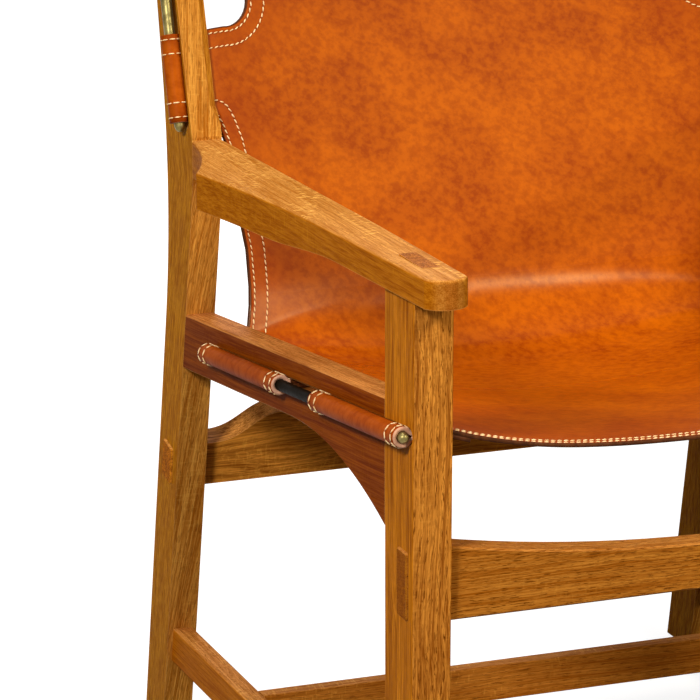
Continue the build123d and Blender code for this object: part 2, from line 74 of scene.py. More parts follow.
def ramp(tree, value, low, high, to_low=0.0, to_high=1.0):
    """The value spread smoothly between two limits"""
    node = put(
        tree,
        "ShaderNodeMapRange",
        {"interpolation_type": "SMOOTHSTEP"},
        {"Value": value, "From Min": low, "From Max": high, "To Min": to_low, "To Max": to_high},
    )
    return node.outputs["Result"]


def cloud(tree, place, stretch, detail=2.0, roughness=0.5, move=(0.0, 0.0, 0.0)):
    """Noise with its own number of spots per metre along each axis"""
    moved = put(tree, "ShaderNodeMapping", None, {"Vector": place, "Scale": stretch, "Location": move})
    texture = put(
        tree,
        "ShaderNodeTexNoise",
        None,
        {"Vector": moved.outputs[0], "Scale": 1.0, "Detail": detail, "Roughness": roughness},
    )
    return texture.outputs["Fac"]


def blend_colour(tree, amount, first, second, how="MIX"):
    """The second colour mixed, multiplied or screened over the first by an amount"""
    node = put(
        tree,
        "ShaderNodeMix",
        {"data_type": "RGBA", "blend_type": how},
        {0: amount, 6: first, 7: second},
    )
    return node.outputs[2]


def colour(red, green, blue):
    """A colour as a photograph's values from 0 to 255, as linear light"""
    shares = [value / 255 for value in (red, green, blue)]
    linear = [s / 12.92 if s < 0.04045 else ((s + 0.055) / 1.055) ** 2.4 for s in shares]
    return (*linear, 1.0)


def group_sockets(tree, inputs, outputs):
    """Name the group's inputs and outputs, and add the nodes that carry them"""
    for name, kind, value in inputs:
        socket = tree.interface.new_socket(name=name, in_out="INPUT", socket_type=kind)
        if value is not None:
            socket.default_value = value
    for name, kind in outputs:
        tree.interface.new_socket(name=name, in_out="OUTPUT", socket_type=kind)
    return tree.nodes.new("NodeGroupInput"), tree.nodes.new("NodeGroupOutput")


# Spots per metre in each part of the grain: twice across the board, then along it.
waves_per_metre = (16, 16, 4.5)
streaks_per_metre = (760, 760, 13)
bands_per_metre = (210, 210, 6)
pores_per_metre = (1500, 1500, 110)
rays_per_metre = (110, 110, 420)
ray_clusters_per_metre = (30, 30, 14)

# How dark late wood, streaks and bands are, how many pores early and late wood show,
# and how rough and deep the open pores leave the oiled face.
late_wood_share = 0.2
streak_share = 0.55
band_share = 0.36
early_pores = 1.2
late_pores = 0.4
oiled_roughness = 0.4
streak_roughness = 0.08
pore_roughness = 0.2
streak_relief = -0.25
pore_relief = -1.0
pore_depth = 0.0004

oak_grain = bpy.data.node_groups.new("oak_grain", "ShaderNodeTree")
given, shown = group_sockets(
    oak_grain,
    (
        ("Vector", "NodeSocketVector", None),
        ("Pith", "NodeSocketVector", (0.03, 0.05, 0.0)),
        ("Pale", "NodeSocketColor", colour(214, 142, 66)),
        ("Dark", "NodeSocketColor", colour(160, 88, 22)),
        ("Pore", "NodeSocketColor", colour(112, 58, 12)),
        ("Ring Width", "NodeSocketFloat", 0.003),
        ("Pores", "NodeSocketFloat", 0.7),
        ("Rays", "NodeSocketFloat", 0.3),
        ("Waves", "NodeSocketFloat", 0.008),
    ),
    (("Color", "NodeSocketColor"), ("Roughness", "NodeSocketFloat"), ("Normal", "NodeSocketVector")),
)
grain = given.outputs
wave_place = put(oak_grain, "ShaderNodeMapping", None, {"Vector": grain["Vector"], "Scale": waves_per_metre})
wave = put(
    oak_grain, "ShaderNodeTexNoise", None, {"Vector": wave_place.outputs[0], "Scale": 1.0, "Detail": 2.0}
)
wave_way = vectors(oak_grain, "SUBTRACT", {0: wave.outputs["Color"], 1: (0.5, 0.5, 0.5)})
wave_step = vectors(oak_grain, "SCALE", {0: wave_way, "Scale": grain["Waves"]})
warped = vectors(oak_grain, "ADD", {0: grain["Vector"], 1: wave_step})
from_pith = vectors(oak_grain, "SUBTRACT", {0: warped, 1: grain["Pith"]})

# At a scale of 1 the texture's rings lie a tenth of pi apart.
ring_scale = sums(oak_grain, "DIVIDE", math.pi / 10, grain["Ring Width"])
ring = put(
    oak_grain,
    "ShaderNodeTexWave",
    {"wave_type": "RINGS", "rings_direction": "Z", "wave_profile": "SAW"},
    {"Vector": from_pith, "Scale": ring_scale, "Distortion": 0.0},
).outputs["Fac"]
late_wood = ramp(oak_grain, ring, 0.1, 0.9)
streaks = ramp(oak_grain, cloud(oak_grain, warped, streaks_per_metre, 3.0, 0.62), 0.35, 0.66)
bands = ramp(oak_grain, cloud(oak_grain, warped, bands_per_metre, 2.0, 0.5, (3, 1, 7)), 0.34, 0.66)
darkness = sums(oak_grain, "MULTIPLY", streaks, streak_share)
darkness = sums(oak_grain, "MULTIPLY_ADD", late_wood, late_wood_share, darkness)
darkness = sums(oak_grain, "MULTIPLY_ADD", bands, band_share, darkness, clamp=True)
wood = blend_colour(oak_grain, darkness, grain["Pale"], grain["Dark"])
pore_spots = cloud(oak_grain, warped, pores_per_metre, 2.0, 0.6, (5, 2, 1))
early_wood = sums(oak_grain, "MULTIPLY_ADD", late_wood, late_pores - early_pores, early_pores)
pores = sums(oak_grain, "MULTIPLY", ramp(oak_grain, pore_spots, 0.5, 0.62), early_wood)
pores = sums(oak_grain, "MULTIPLY", pores, grain["Pores"], clamp=True)
wood = blend_colour(oak_grain, pores, wood, grain["Pore"])
ray_spots = ramp(oak_grain, cloud(oak_grain, warped, rays_per_metre, 1.0, 0.5, (1, 6, 3)), 0.57, 0.66)
cluster_spots = cloud(oak_grain, grain["Vector"], ray_clusters_per_metre, 1.0, 0.5, (8, 4, 2))
ray_clusters = ramp(oak_grain, cluster_spots, 0.45, 0.62)
rays = sums(oak_grain, "MULTIPLY", sums(oak_grain, "MULTIPLY", ray_spots, ray_clusters), grain["Rays"])
wood = blend_colour(oak_grain, rays, wood, grain["Pale"], "SCREEN")
oak_grain.links.new(wood, shown.inputs["Color"])
satin = sums(oak_grain, "MULTIPLY_ADD", streaks, streak_roughness, oiled_roughness)
satin = sums(oak_grain, "MULTIPLY_ADD", pores, pore_roughness, satin)
oak_grain.links.new(satin, shown.inputs["Roughness"])
relief = sums(oak_grain, "MULTIPLY", streaks, streak_relief)
relief = sums(oak_grain, "MULTIPLY_ADD", pores, pore_relief, relief)
open_grain = put(
    oak_grain, "ShaderNodeBump", None, {"Height": relief, "Strength": 0.35, "Distance": pore_depth}
)
oak_grain.links.new(open_grain.outputs[0], shown.inputs["Normal"])

# A face counts as turned one way between these two shares of its normal, and as end
# grain between the next two.
turned_from = 0.4
turned_full = 0.8
end_from = 0.93
end_full = 0.99

# On the sides fewer pores and rays show. Upright faces carry a painted shade, in full on the
# sides and in part on the front and back faces, and the arrises a painted pale highlight.
side_pores = 0.35
side_rays = 0.3
front_shade_share = 0.6
arris_round = 0.0016
arris_highlight_share = 0.3
arris_highlight_colour = colour(236, 176, 96)
oil_shine = 0.004


def oak(name, turn, upright_shade=colour(240, 214, 100), ends=colour(236, 222, 206), bend=None, **look):
    """Oiled oak whose grain runs along Z once its place is unbent and turned"""
    material = bpy.data.materials.new(name)
    material.use_nodes = True
    tree = material.node_tree
    shader = tree.nodes["Principled BSDF"]
    place = put(tree, "ShaderNodeTexCoord").outputs["Object"]
    if bend:
        middle, above, below = bend
        parts = put(tree, "ShaderNodeSeparateXYZ", None, {0: place}).outputs
        over = sums(tree, "MAXIMUM", sums(tree, "SUBTRACT", parts["Z"], middle), 0.0)
        under = sums(tree, "MAXIMUM", sums(tree, "SUBTRACT", middle, parts["Z"]), 0.0)
        depth = sums(tree, "MULTIPLY_ADD", over, -above, parts["Y"])
        depth = sums(tree, "MULTIPLY_ADD", under, -below, depth)
        place = put(
            tree, "ShaderNodeCombineXYZ", None, {"X": parts["X"], "Y": depth, "Z": parts["Z"]}
        ).outputs[0]
    turned = put(tree, "ShaderNodeMapping", None, {"Vector": place, "Rotation": turn}).outputs[0]
    board = put(tree, "ShaderNodeGroup", {"node_tree": oak_grain}, {"Vector": turned})
    for socket, value in look.items():
        board.inputs[socket.replace("_", " ")].default_value = value
    normal = put(tree, "ShaderNodeTexCoord").outputs["Normal"]
    facing = put(tree, "ShaderNodeSeparateXYZ", None, {0: normal}).outputs
    sideways = sums(tree, "ABSOLUTE", facing["X"])
    for socket, kept in (("Pores", side_pores), ("Rays", side_rays)):
        full = board.inputs[socket].default_value
        there = ramp(tree, sideways, turned_from, turned_full, full, full * kept)
        tree.links.new(there, board.inputs[socket])
    # Painted highlight: a pale colour along the rounded arrises, for the light they catch.
    true_normal = put(tree, "ShaderNodeNewGeometry").outputs["Normal"]
    round_normal = put(tree, "ShaderNodeBevel", {"samples": 6}, {"Radius": arris_round}).outputs[0]
    same_way = put(
        tree, "ShaderNodeVectorMath", {"operation": "DOT_PRODUCT"}, {0: true_normal, 1: round_normal}
    ).outputs["Value"]
    arris = ramp(tree, same_way, 0.8, 0.98, arris_highlight_share, 0.0)
    # Painted shade: upright faces are multiplied by the upright shade colour, in full where they face
    # sideways and in part where they face front or back.
    shade_mask = ramp(tree, sums(tree, "ABSOLUTE", facing["Z"]), turned_from, turned_full, 1.0, 0.0)
    side_shade_share = ramp(tree, sideways, turned_from, turned_full, front_shade_share, 1.0)
    shade_mask = sums(tree, "MULTIPLY", shade_mask, side_shade_share)
    toned = blend_colour(tree, shade_mask, board.outputs["Color"], upright_shade, "MULTIPLY")
    along = put(tree, "ShaderNodeMapping", {"vector_type": "NORMAL"}, {"Vector": normal, "Rotation": turn})
    across = put(tree, "ShaderNodeSeparateXYZ", None, {0: along.outputs[0]}).outputs["Z"]
    end_grain = ramp(tree, sums(tree, "ABSOLUTE", across), end_from, end_full)
    toned = blend_colour(tree, end_grain, toned, ends, "MULTIPLY")
    highlit_arrises = blend_colour(tree, arris, toned, arris_highlight_colour)
    tree.links.new(highlit_arrises, shader.inputs["Base Color"])
    tree.links.new(board.outputs["Roughness"], shader.inputs["Roughness"])
    tree.links.new(board.outputs["Normal"], shader.inputs["Normal"])
    shader.inputs["Specular IOR Level"].default_value = oil_shine
    return material


def finish_wood(material, *names):
    """Give pieces from the frame their oak"""
    for name in names:
        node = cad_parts[name]
        node.data.materials.clear()
        node.data.materials.append(material)


grain_up = (0.0, 0.0, 0.0)
grain_deep = (math.pi / 2, 0.0, 0.0)
grain_across = (0.0, math.pi / 2, 0.0)

leg_oak = oak(
    "leg_oak",
    grain_up,
    ends=colour(212, 188, 156),
    Pale=colour(230, 158, 78),
    Dark=colour(140, 78, 24),
    Pith=(0.0, 0.16, 0.0),
    Pores=0.85,
    Rays=0.1,
    Waves=0.02,
)
finish_wood(leg_oak, "front_leg_right", "front_leg_left")


# Rear posts: oak, shaped with a knee at the armrest, leaning back above it and splayed
# back below it. The grain follows both halves, a little slantwise across the front face,
# and the tenons of the rear rail go through them.

post_lean = math.radians(17.7)
post_splay = 0.207
knee_height = 0.55
grain_slant = -0.12

post_oak = oak(
    "post_oak",
    (0.0, grain_slant, 0.0),
    upright_shade=colour(226, 206, 84),
    bend=(knee_height, math.tan(post_lean), post_splay),
    Pale=colour(236, 171, 92),
    Dark=colour(164, 96, 28),
    Pith=(-0.1, 0.1, 0.0),
    Pores=0.6,
    Rays=0.15,
)
finish_wood(post_oak, "rear_post_right", "rear_post_left")


# Seat rails: oak side rails between leg and post, each with a slot for the leather and a
# curved bracket at the leg. Ray flecks show on the outer face, and the oak is redder than
# the legs'. Its upright faces carry a strong painted shade, for where the leather and the
# rod keep the light off.

rail_slope = math.radians(6.7)

rail_oak = oak(
    "rail_oak",
    (math.pi / 2 + rail_slope, 0.0, 0.0),
    upright_shade=colour(166, 124, 28),
    Pale=colour(226, 148, 74),
    Dark=colour(158, 86, 30),
    Pith=(-0.1, -0.35, 0.0),
    Pores=0.5,
    Rays=0.5,
)
finish_wood(rail_oak, "seat_rail_right", "seat_rail_left")


# Armrests: the palest oak, quarter-sawn, with clusters of short pale rays along the
# middle of the flat top. Each has a stub tenon in the rear post and sits on the front
# leg, whose tenon shows in its top.

arm_oak = oak(
    "arm_oak",
    grain_deep,
    upright_shade=colour(224, 196, 90),
    Pale=colour(211, 145, 69),
    Dark=colour(161, 94, 27),
    Pith=(-0.1, -0.75, 0.0),
    Ring_Width=0.0045,
    Pores=0.45,
    Rays=0.8,
)
finish_wood(arm_oak, "armrest_right", "armrest_left")


# Low stretchers: plain oak, one along each side between leg and post, and one across
# between those two. All are fixed by glued tenons.

side_stretcher_oak = oak("side_stretcher_oak", grain_deep, Pith=(0.1, -0.2, 0.0))
finish_wood(side_stretcher_oak, "side_stretcher_right", "side_stretcher_left")
cross_stretcher_oak = oak("cross_stretcher_oak", grain_across, Pith=(0.2, 0.3, 0.0))
finish_wood(cross_stretcher_oak, "cross_stretcher")


# Front and rear rails: oak with its grain across the chair, fixed by tenons that go
# through the legs and the posts. The front rail is hollowed along its top and shows fine
# dark pores, and the rear one shows long wavy rays.

front_rail_oak = oak(
    "front_rail_oak",
    grain_across,
    upright_shade=colour(208, 192, 66),
    Pith=(-0.3, -0.42, 0.0),
    Ring_Width=0.0025,
    Pores=0.9,
    Rays=0.1,
)
finish_wood(front_rail_oak, "front_rail")
rear_rail_oak = oak(
    "rear_rail_oak",
    grain_across,
    upright_shade=colour(250, 226, 92),
    Pale=colour(238, 164, 80),
    Dark=colour(138, 78, 20),
    Pith=(-0.3, 0.05, 0.0),
    Pores=0.4,
    Rays=0.2,
    Waves=0.035,
)
finish_wood(rear_rail_oak, "rear_rail")


# Brass rods: 10 mm stock with bullet ends along the outside of the side frames, held there
# by the leather's sleeves alone. They are left to tarnish olive. Where a seat rod lies bare
# between its sleeves it is painted nearly black, as shade and the dark reflection around it.

rod_half = 0.005
rod_nose = 0.0065
nose_fullness = 0.85
# Share of a square end's corner that a bullet end keeps in the rod's box
nose_corner = 0.55
bare_middle = -0.083
bare_from = 0.05
bare_to = 0.06
seat_rods_top = 0.5
back_rods_foot = 0.52


def lathe(name, start, way, long, sides=40, nose_steps=8):
    """A round rod with a bullet nose at each end, as one closed mesh"""
    profile = []
    for i in range(nose_steps + 1):
        angle = math.pi / 2 * i / nose_steps
        profile.append((rod_nose * (1 - math.cos(angle)), rod_half * math.sin(angle) ** nose_fullness))
    profile += [(long - along, radius) for along, radius in reversed(profile)]
    aside = way.orthogonal().normalized()
    other = way.cross(aside)
    tip = 1e-6
    rod = bmesh.new()
    rings = []
    for along, radius in profile:
        if radius < tip:
            rings.append([rod.verts.new(start + way * along)] * sides)
            continue
        ring = []
        for i in range(sides):
            angle = 2 * math.pi * i / sides
            out = aside * math.cos(angle) + other * math.sin(angle)
            ring.append(rod.verts.new(start + way * along + out * radius))
        rings.append(ring)
    for low, high in zip(rings, rings[1:]):
        for i in range(sides):
            k = (i + 1) % sides
            corners = list(dict.fromkeys((low[i], low[k], high[k], high[i])))
            rod.faces.new(corners).smooth = True
    bmesh.ops.recalc_face_normals(rod, faces=rod.faces)
    mesh = bpy.data.meshes.new(name)
    rod.to_mesh(mesh)
    rod.free()
    return mesh


def tarnished_brass():
    """Blotchy olive metal, painted nearly black as shade where a seat rod is bare"""
    material = bpy.data.materials.new("tarnished_brass")
    material.use_nodes = True
    tree = material.node_tree
    shader = tree.nodes["Principled BSDF"]
    place = put(tree, "ShaderNodeTexCoord").outputs["Object"]
    blotches = ramp(tree, cloud(tree, place, (140, 140, 140), 4.0, 0.6), 0.35, 0.65)
    metal = blend_colour(tree, blotches, colour(132, 118, 72), colour(98, 86, 48))
    parts = put(tree, "ShaderNodeSeparateXYZ", None, {0: place}).outputs
    # Painted shade: the bare middle of each seat rod turns nearly black and stops being metal.
    from_bare = sums(tree, "ABSOLUTE", sums(tree, "SUBTRACT", parts["Y"], bare_middle))
    low_down = ramp(tree, parts["Z"], seat_rods_top, back_rods_foot, 1.0, 0.0)
    bare_shade = sums(tree, "MULTIPLY", ramp(tree, from_bare, bare_from, bare_to, 1.0, 0.0), low_down)
    metal = blend_colour(tree, bare_shade, metal, colour(15, 9, 3))
    tree.links.new(metal, shader.inputs["Base Color"])
    tree.links.new(ramp(tree, blotches, 0.0, 1.0, 0.38, 0.5), shader.inputs["Roughness"])
    tree.links.new(ramp(tree, bare_shade, 0.0, 1.0, 1.0, 0.0), shader.inputs["Metallic"])
    shader.inputs["Specular IOR Level"].default_value = 0.01
    return material


brass = tarnished_brass()
rod_ways = {
    "seat_rod": Vector((0.0, -math.cos(rail_slope), math.sin(rail_slope))),
    "back_rod": Vector((0.0, math.sin(post_lean), math.cos(post_lean))),
}
for kind, way in rod_ways.items():
    for side in ("right", "left"):
        low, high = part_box(kind + "_" + side)
        middle = (low + high) / 2
        spread = high - low
        corners = 4 * rod_half * abs(way.y * way.z) * nose_corner
        long = spread.y * abs(way.y) + spread.z * abs(way.z) - corners
        mesh = lathe(kind, middle - way * long / 2, way, long)
        rod = bpy.data.objects.new("brass_" + kind + "_" + side, mesh)
        bpy.context.scene.collection.objects.link(rod)
        rod.data.materials.append(brass)
        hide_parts(kind + "_" + side)
        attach(rod, "root")


# Sling: one sheet of saddle leather, seat and back in one, cut with eight tabs. Each tab
# passes out through a slot, round a rod, back through the slot and is sewn to the sheet.
# The leather is 3.5 mm thick, dyed brown, waxed and burnished dark along its cut edges.

thick = 0.00345
half_span = 0.2547
rod_reach = 0.2952
corner = Vector((0.0, 0.1655, 0.4037))
turn = math.pi / 2 - post_lean + rail_slope
seat_way = rod_ways["seat_rod"]
seat_up = Vector((0.0, math.sin(rail_slope), math.cos(rail_slope)))
back_way = rod_ways["back_rod"]
back_out = Vector((0.0, -math.cos(post_lean), math.sin(post_lean)))
back_out_from_seat = (back_out - seat_up * seat_up.dot(back_out)).normalized()

# The cut, as distances along the sheet from the corner where the seat's and the back's
# lines meet: minus is forward on the seat, and plus is up the back.
seat_rear = -0.004
sleeve_long = 0.202
seat_gap = 0.092
hem = seat_rear - 2 * sleeve_long - seat_gap
back_low = 0.2071
back_sleeve = 0.079
back_gap = 0.07
top = back_low + 2 * back_sleeve + back_gap

# Half of the way across the sheet: span, slot, round the rod, slot and seam allowance.
# The lip is where the leather dips a little as it leaves the slot.
wrap = 0.0087
neck_round = 0.0024
neck_high = 0.00355
wrap_dip = neck_high + neck_round
wrap_back = math.sqrt((wrap + neck_round) ** 2 - wrap_dip**2)
neck_end = rod_reach - wrap_back
neck_turn = math.pi / 2 - math.atan2(wrap_dip, wrap_back)
wrap_turn = 2 * math.pi - 2 * math.atan2(wrap_dip, wrap_back)
wrap_middle = wrap - thick / 2
seam_end = 0.238
run_neck = neck_end - half_span
run_round = neck_turn * neck_round
run_wrap = wrap_turn * wrap_middle
sleeve_start = half_span + run_neck
sleeve_end = sleeve_start + 2 * run_round + run_wrap
sheet_half = sleeve_end + neck_end - seam_end
scoop_edge = 0.217
scoop_round = 0.025
scoop_rise = 0.0045
lip_end = 0.262
lip_drop = 0.0012

# Rows of stitches, by their distance inside the cut's edge.
near_row = 0.0045
far_row = 0.0175


def ease(share):
    """A share from 0 to 1 that starts and ends gently"""
    share = min(1.0, max(0.0, share))
    return share * share * (3 - 2 * share)


# How far the middle of the sheet hangs below the rods' lines, by the distance along it
sag_places = (
    (hem, 0.0275),
    (-0.38, 0.034),
    (-0.25, 0.040),
    (-0.12, 0.038),
    (0.0, 0.032),
    (0.1, 0.030),
    (0.2, 0.032),
    (0.3, 0.034),
    (0.37, 0.030),
    (top, 0.026),
)

# The hollow is an arch whose power rises towards the hem, and the bend between seat and
# back has a radius that grows from the rods to the middle.
hollow_power = 2.1
hem_power = 1.1
hem_from = -0.36
hem_over = 0.12
side_bend = 0.006
middle_bend = 0.056
bend_power = 0.65
dent = 0.0009
dents_per_metre = 9
dent_seed = 4.2


def sag_at(along):
    """The sag at any distance along, on a smooth curve through its places"""
    if along <= sag_places[0][0]:
        return sag_places[0][1]
    for i in range(len(sag_places) - 1):
        (a, low), (b, high) = sag_places[i], sag_places[i + 1]
        if along <= b:
            before = sag_places[max(i - 1, 0)]
            after = sag_places[min(i + 2, len(sag_places) - 1)]
            slope_a = (high - before[1]) / (b - before[0])
            slope_b = (after[1] - low) / (after[0] - a)
            t = (along - a) / (b - a)
            wide = b - a
            return (
                (1 + 2 * t) * (1 - t) ** 2 * low
                + t * (1 - t) ** 2 * wide * slope_a
                + t * t * (3 - 2 * t) * high
                - t * t * (1 - t) * wide * slope_b
            )
    return sag_places[-1][1]


def hang(across, along):
    """Share of the sag at a distance from the middle, fuller towards the front hem"""
    u = min(1.0, abs(across) / half_span)
    return 1 - u ** (hollow_power + hem_power * ease((hem_from - along) / hem_over))


def bend_radius(across):
    """Radius of the bend between seat and back at a distance from the middle"""
    u = min(1.0, abs(across) / half_span)
    return side_bend + middle_bend * (1 - u * u) ** bend_power


def line_place(across, along):
    """Point and outward direction on the unsagged sheet, rounded where seat meets back"""
    radius = bend_radius(across)
    reach = radius * math.tan(turn / 2)
    if along <= -reach:
        return corner - seat_way * along, seat_up
    if along >= reach:
        return corner + back_way * along, back_out
    angle = (along + reach) / (2 * reach) * turn
    centre = corner + seat_way * reach + seat_up * radius
    out = seat_up * math.cos(angle) + back_out_from_seat * math.sin(angle)
    return centre - out * radius, out


def lip(out):
    """How far the leather dips where it leaves the slot"""
    return lip_drop * ease((neck_end - out) / (neck_end - lip_end))


def across_place(flat_across):
    """Distance from the middle, height off the rod's line, and whether the point sags"""
    s = abs(flat_across)
    if s <= half_span:
        return s, neck_high - lip(s), 1
    s -= half_span
    if s <= run_neck:
        out = half_span + s
        return out, neck_high - lip(out), 0
    s -= run_neck
    if s <= run_round:
        angle = s / neck_round
        return neck_end + neck_round * math.sin(angle), wrap_dip - neck_round * math.cos(angle), 0
    s -= run_round
    start = math.pi - math.atan2(wrap_dip, wrap_back)
    if s <= run_wrap:
        angle = start - s / wrap_middle
        return rod_reach + wrap * math.cos(angle), wrap * math.sin(angle), 0
    s -= run_wrap
    if s <= run_round:
        angle = neck_turn - s / neck_round
        return neck_end + neck_round * math.sin(angle), neck_round * math.cos(angle) - wrap_dip, 0
    s -= run_round
    out = neck_end - s
    return out, -neck_high - lip(out), 1 if out < half_span else 0


def sheet_place(flat_across, along):
    """Where a point of the cut lies on the grain side of the hung sheet"""
    out, high, sags = across_place(flat_across)
    side = 1.0 if flat_across >= 0 else -1.0
    base, away = line_place(out, along)
    height = high
    if sags:
        height -= sag_at(along) * hang(out, along)
        dent_place = Vector((side * out * dents_per_metre, along * dents_per_metre, dent_seed))
        height += dent * (1 - (out / half_span) ** 4) * noise.noise(dent_place)
    return Vector((side * out, base.y, base.z)) + away * height


tabs = (
    (hem, hem + sleeve_long),
    (seat_rear - sleeve_long, seat_rear),
    (back_low, back_low + back_sleeve),
    (top - back_sleeve, top),
)

# The drawn-in edge between the seat's and the back's tabs: how far along, and how wide.
waist_front = 0.2635
waist = (
    (0.019, 0.252),
    (0.038, 0.248),
    (0.055, 0.246),
    (0.0885, 0.245),
    (0.1116, 0.2475),
    (0.16, 0.251),
    (0.184, 0.2545),
    (0.2007, 0.2595),
)
waist_back = 0.2625


def round_corner(centre, radius, first, last, steps=10):
    """Points on an arc between two angles in degrees"""
    angles = [math.radians(first + (last - first) * i / steps) for i in range(steps + 1)]
    return [(centre[0] + radius * math.cos(a), centre[1] + radius * math.sin(a)) for a in angles]


def cut_edge():
    """Half of the cut's outline from the middle of the hem to the middle of the top"""
    path = [(0.0, hem)]
    for number, (low, high) in enumerate(tabs):
        path += [(sheet_half, low), (sheet_half, high)]
        if number in (0, 2):
            gap_end = tabs[number + 1][0]
            rise = scoop_rise if number else 0.0
            middle = scoop_edge + scoop_round
            path.append((neck_end, high))
            path += round_corner((middle, high + rise + scoop_round), scoop_round, 275, 180)
            path += round_corner((middle, gap_end - rise - scoop_round), scoop_round, 180, 85)
            path.append((neck_end, gap_end))
        if number == 1:
            path.append((waist_front, high))
            path += [(wide, along) for along, wide in waist]
            path.append((waist_back, back_low))
    path.append((0.0, top))
    return path


def whole_edge():
    """The cut's outline, both halves"""
    half = cut_edge()
    return half + [(-x, t) for x, t in reversed(half[1:-1])]


# The sheet's cells are small where it bends: round the rods, and between seat and back.
span_cell = 0.0055
neck_cell = 0.008
wrap_cell = 0.0017
seam_cell = 0.007
along_cell = 0.0065
bend_cell = 0.0035
bend_from = -0.06
bend_to = 0.07


def levels(low, high, step):
    """Even steps from low to high"""
    count = max(1, round((high - low) / step))
    return [low + (high - low) * i / count for i in range(count + 1)]


def sling_mesh():
    """The cut lying flat, divided into cells"""
    sheet = bmesh.new()
    outline = [sheet.verts.new((x, t, 0.0)) for x, t in whole_edge()]
    sheet.faces.new(outline)
    across = levels(0.0, half_span, span_cell)
    across += levels(half_span, sleeve_start, neck_cell)[1:]
    across += levels(sleeve_start, sleeve_end, wrap_cell)[1:]
    across += levels(sleeve_end, sheet_half, seam_cell)[1:-1]
    along = levels(hem, bend_from, along_cell)[1:]
    along += levels(bend_from, bend_to, bend_cell)[1:]
    along += levels(bend_to, top, along_cell)[1:-1]
    both_sides = [side * x for x in across for side in ((1, -1) if x else (1,))]
    cuts = [(Vector((x, 0, 0)), Vector((1, 0, 0))) for x in both_sides]
    cuts += [(Vector((0, t, 0)), Vector((0, 1, 0))) for t in along]
    for place, way in cuts:
        parts = sheet.verts[:] + sheet.edges[:] + sheet.faces[:]
        bmesh.ops.bisect_plane(sheet, geom=parts, dist=1e-6, plane_co=place, plane_no=way)
    bmesh.ops.remove_doubles(sheet, verts=sheet.verts, dist=1e-5)
    mesh = bpy.data.meshes.new("sling")
    sheet.to_mesh(mesh)
    sheet.free()
    return mesh


def edge_distances(points):
    """Distance of each point of the cut from its nearest edge"""
    path = whole_edge()
    sides = [(Vector(a), Vector(b) - Vector(a)) for a, b in zip(path, path[1:] + path[:1])]
    found = []
    for point in points:
        nearest = 1.0
        for start, run in sides:
            if run.length_squared == 0.0:
                continue
            share = min(1.0, max(0.0, (point - start).dot(run) / run.length_squared))
            nearest = min(nearest, (point - start - run * share).length)
        found.append(nearest)
    return found


def turn_grain_side_up(mesh):
    """Turn all faces over if most of the sheet between the frames faces down"""
    sheet = bmesh.new()
    sheet.from_mesh(mesh)
    facing_up = 0.0
    for face in sheet.faces:
        if abs(face.calc_center_median().x) < scoop_edge:
            facing_up += math.copysign(face.calc_area(), face.normal.z)
    if facing_up < 0:
        bmesh.ops.reverse_faces(sheet, faces=sheet.faces)
    sheet.to_mesh(mesh)
    sheet.free()


sling_sheet = sling_mesh()
flat_points = [Vector((v.co.x, v.co.y)) for v in sling_sheet.vertices]
edge_record = sling_sheet.attributes.new("edge_distance", "FLOAT", "POINT")
edge_record.data.foreach_set("value", edge_distances(flat_points))
flat_map = sling_sheet.uv_layers.new(name="cut")
for loop in sling_sheet.loops:
    flat_map.data[loop.index].uv = flat_points[loop.vertex_index]
for vertex, point in zip(sling_sheet.vertices, flat_points):
    vertex.co = sheet_place(point.x, point.y)
for face in sling_sheet.polygons:
    face.use_smooth = True
sling_sheet.update()
turn_grain_side_up(sling_sheet)
sling = bpy.data.objects.new("leather_sling", sling_sheet)
bpy.context.scene.collection.objects.link(sling)

# The dyed hide is mottled in broad clouds and small spots, laid out skew to the sheet.
hide_turn = (0.5, 0.7, 0.6)
clouds_per_metre = (14, 17, 14)
spots_per_metre = (120, 150, 130)
pebbles_per_metre = 1100.0
pebble_depth = 0.00003

hide = bpy.data.node_groups.new("hide", "ShaderNodeTree")
given, shown = group_sockets(
    hide,
    (
        ("Vector", "NodeSocketVector", None),
        ("Pale", "NodeSocketColor", colour(222, 118, 30)),
        ("Dark", "NodeSocketColor", colour(176, 72, 8)),
    ),
    (("Color", "NodeSocketColor"), ("Clouds", "NodeSocketFloat"), ("Normal", "NodeSocketVector")),
)
skin = given.outputs
skewed = put(hide, "ShaderNodeMapping", None, {"Vector": skin["Vector"], "Rotation": hide_turn}).outputs[0]
broad = ramp(hide, cloud(hide, skewed, clouds_per_metre, 2.0, 0.5), 0.3, 0.7)
spots = ramp(hide, cloud(hide, skewed, spots_per_metre, 6.0, 0.66, (2, 5, 1)), 0.36, 0.66)
clouds = sums(hide, "MULTIPLY_ADD", broad, 0.5, sums(hide, "MULTIPLY", spots, 0.55), clamp=True)
hide.links.new(blend_colour(hide, clouds, skin["Pale"], skin["Dark"]), shown.inputs["Color"])
hide.links.new(clouds, shown.inputs["Clouds"])
pebbles = put(
    hide,
    "ShaderNodeTexVoronoi",
    {"feature": "DISTANCE_TO_EDGE"},
    {"Vector": skin["Vector"], "Scale": pebbles_per_metre},
)
pebble_height = ramp(hide, pebbles.outputs["Distance"], 0.0, 0.25)
skin_bump = put(
    hide, "ShaderNodeBump", None, {"Height": pebble_height, "Strength": 0.1, "Distance": pebble_depth}
)
hide.links.new(skin_bump.outputs[0], shown.inputs["Normal"])


